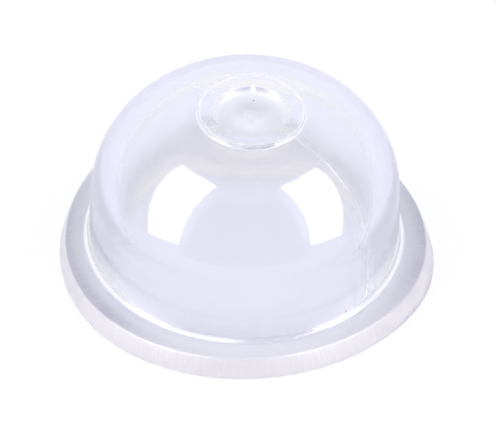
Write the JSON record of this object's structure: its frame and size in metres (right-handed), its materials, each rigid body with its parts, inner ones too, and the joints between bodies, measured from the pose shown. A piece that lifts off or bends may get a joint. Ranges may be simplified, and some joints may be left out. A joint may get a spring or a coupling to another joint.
{
  "type": "primer bulb",
  "caption": "Clear one-piece primer bulb: a 22 mm flange with an 18 mm hollow dome, open underneath, and a small gate pad on its crown.",
  "frame": {"origin": "centre of the flange's underside, on the dome's axis", "axes": "+Z along the dome's axis, from the open underside towards the crown; +X to the right in the picture's view, +Y away from its camera"},
  "size_m": [0.0216, 0.022, 0.011],
  "materials": {
    "clear_plastic": "clear, glossy on the dome and satin on the flange"
  },
  "bodies": {
    "root": {"primer_bulb": "clear_plastic"}
  },
  "joints": []
}
